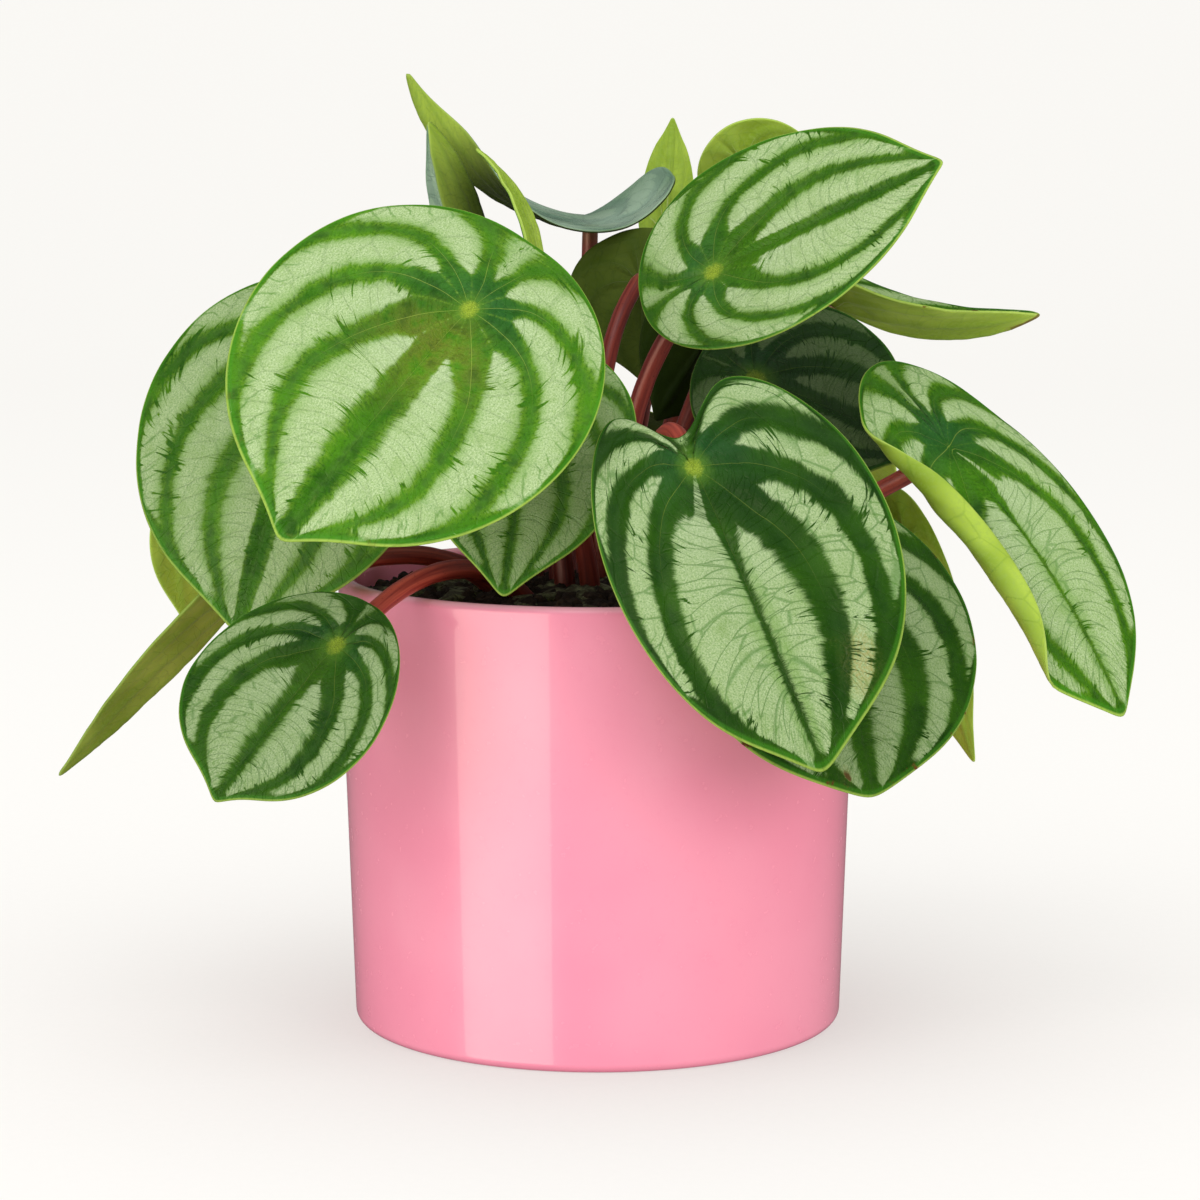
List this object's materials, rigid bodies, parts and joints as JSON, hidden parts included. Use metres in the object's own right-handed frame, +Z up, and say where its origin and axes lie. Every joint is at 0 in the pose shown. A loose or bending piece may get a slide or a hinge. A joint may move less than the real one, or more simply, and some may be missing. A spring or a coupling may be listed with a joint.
{
  "type": "potted peperomia",
  "caption": "Round-leaved foliage plant with silver-striped leaves on red stalks, in soil in a plain glazed cylindrical cover pot that stands on its flat foot.",
  "frame": {"origin": "centre of the pot's flat foot, on the surface the pot stands on", "axes": "+Z up along the pot's axis; -Y towards the viewer of the pictured side; +X to that viewer's right"},
  "size_m": [0.274, 0.213, 0.246],
  "materials": {
    "pot_glaze": "gloss",
    "soil": "matte",
    "leaf": "satin",
    "petiole": "satin"
  },
  "bodies": {
    "root": {"pot": "pot_glaze", "soil": "soil", "leaf_front_left_large": "leaf", "leaf_left_large": "leaf", "leaf_front_left_small": "leaf", "leaf_far_left_folded": "leaf", "leaf_left_small": "leaf", "leaf_front_middle": "leaf", "leaf_upper_right": "leaf", "leaf_upper_right_behind": "leaf", "leaf_front_heart": "leaf", "leaf_front_right_low": "leaf", "leaf_right_large": "leaf", "leaf_right_middle": "leaf", "leaf_right_reaching": "leaf", "leaf_top_saddle": "leaf", "leaf_top_left_folded": "leaf", "leaf_top_left_crescent": "leaf", "leaf_top_point": "leaf", "leaf_centre_behind": "leaf", "leaf_centre_small": "leaf", "leaf_right_hanging": "leaf", "leaf_back_left": "leaf", "leaf_back_middle": "leaf", "leaf_back_right": "leaf", "petiole_front_left_large": "petiole", "petiole_left_large": "petiole", "petiole_front_left_small": "petiole", "petiole_far_left_folded": "petiole", "petiole_left_small": "petiole", "petiole_front_middle": "petiole", "petiole_upper_right": "petiole", "petiole_upper_right_behind": "petiole", "petiole_front_heart": "petiole", "petiole_front_right_low": "petiole", "petiole_right_large": "petiole", "petiole_right_middle": "petiole", "petiole_right_reaching": "petiole", "petiole_top_saddle": "petiole", "petiole_top_left_folded": "petiole", "petiole_top_left_crescent": "petiole", "petiole_top_point": "petiole", "petiole_centre_behind": "petiole", "petiole_centre_small": "petiole", "petiole_right_hanging": "petiole", "petiole_back_left": "petiole", "petiole_back_middle": "petiole", "petiole_back_right": "petiole"}
  },
  "joints": []
}
